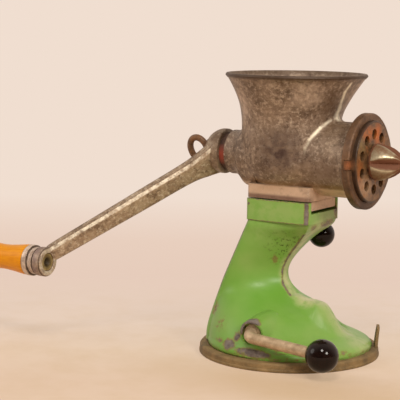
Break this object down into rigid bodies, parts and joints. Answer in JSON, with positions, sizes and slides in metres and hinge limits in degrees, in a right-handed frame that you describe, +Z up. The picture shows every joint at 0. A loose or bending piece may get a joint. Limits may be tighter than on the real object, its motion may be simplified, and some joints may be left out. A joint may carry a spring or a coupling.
{
  "type": "hand crank meat grinder",
  "caption": "Hand crank meat grinder with a flared hopper, perforated plate, star nut and wooden crank handle, on a curved green cast stand held down by a lever-worked suction foot",
  "frame": {"origin": "centre of the suction pad's underside, on the table", "axes": "+X along the feed screw from the crank to the perforated plate, +Y away from the suction lever, +Z up"},
  "size_m": [0.365, 0.188, 0.2205],
  "materials": {
    "tinned_iron": "worn tin on cast iron, mottled",
    "browned_steel": "browned, lightly rusted",
    "polished_nut": "bright ridges, rust in the grooves",
    "bare_steel": "satin",
    "lever_steel": "bare worn steel, warm tint",
    "green_enamel": "glossy, chipped",
    "red_fibre": "matte",
    "handle_wood": "orange varnish",
    "black_plastic": "glossy",
    "aged_rubber": "aged tan rubber",
    "bronze": "plain"
  },
  "bodies": {
    "root": {"stand": "green_enamel", "suction_pad": "aged_rubber", "guide_bush": "bronze", "lever_bush_near": "bronze", "lever_bush_far": "bronze", "grinder_body": "tinned_iron", "rear_bush": "bronze", "perforated_plate": "browned_steel", "thrust_washer": "red_fibre"},
    "crank": {"feed_screw": "tinned_iron", "cutter_knife": "bare_steel", "crank_arm": "tinned_iron", "handle_spindle": "bare_steel", "handle_washer": "browned_steel"},
    "handle": {"handle_grip": "handle_wood", "handle_ferrule": "lever_steel"},
    "nut_washer_body": {"nut_washer": "browned_steel"},
    "star_nut_body": {"star_nut": "polished_nut"},
    "screw_washer_body": {"screw_washer": "browned_steel"},
    "thumb_screw_body": {"crank_thumb_screw": "browned_steel"},
    "lever": {"lever_rod": "lever_steel", "lever_cam": "bare_steel", "cam_pin": "bare_steel", "shaft_clip": "bare_steel", "ball_knob": "black_plastic"},
    "pull_rod": {"pull_yoke": "bare_steel", "pad_insert": "bare_steel"},
    "clamp_shoe_body": {"clamp_shoe": "bare_steel"},
    "clamp": {"clamp_screw": "bare_steel", "clamp_knob": "black_plastic"}
  },
  "joints": [
    {"name": "crank_turn", "type": "hinge", "parent": "root", "child": "crank", "pos_m": [0, 0, 0.1561], "axis": [1, 0, 0], "continuous": true},
    {"name": "handle_spin", "type": "hinge", "parent": "crank", "child": "handle", "pos_m": [-0.2, -0.10342, 0.06932], "axis": [1, 0, 0], "continuous": true},
    {"name": "nut_washer_slide", "type": "slide", "parent": "crank", "child": "nut_washer_body", "axis": [1, 0, 0], "range_m": [0, 0.003]},
    {"name": "star_nut_turn", "type": "hinge", "parent": "nut_washer_body", "child": "star_nut_body", "pos_m": [0.08, 0, 0.1561], "axis": [1, 0, 0], "range_deg": [0, 720]},
    {"name": "thumb_screw_turn", "type": "hinge", "parent": "crank", "child": "screw_washer_body", "pos_m": [-0.08, 0, 0.1561], "axis": [-1, 0, 0], "range_deg": [0, 1080]},
    {"name": "thumb_screw_slide", "type": "slide", "parent": "screw_washer_body", "child": "thumb_screw_body", "axis": [-1, 0, 0], "range_m": [0, 0.003]},
    {"name": "suction_lever", "type": "hinge", "parent": "root", "child": "lever", "pos_m": [0, 0, 0.025], "axis": [0, -1, 0], "range_deg": [0, 170]},
    {"name": "pull_rod_lift", "type": "slide", "parent": "root", "child": "pull_rod", "axis": [0, 0, 1], "range_m": [0, 0.0035], "deforming": ["suction_pad"]},
    {"name": "clamp_slide", "type": "slide", "parent": "root", "child": "clamp_shoe_body", "axis": [0, 0.7071, -0.7071], "range_m": [0, 0.006]},
    {"name": "clamp_turn", "type": "hinge", "parent": "clamp_shoe_body", "child": "clamp", "pos_m": [0.0095, 0.033, 0.091], "axis": [0, 0.7071, -0.7071], "range_deg": [0, 1080]}
  ],
  "couplings": [
    {"joint": "nut_washer_slide", "follows": "star_nut_turn", "m_per_rad": 0.00023873},
    {"joint": "thumb_screw_slide", "follows": "thumb_screw_turn", "m_per_rad": 0.00015915},
    {"joint": "pull_rod_lift", "follows": "suction_lever", "m_per_rad": 0.0011796},
    {"joint": "clamp_slide", "follows": "clamp_turn", "m_per_rad": 0.00031831}
  ]
}
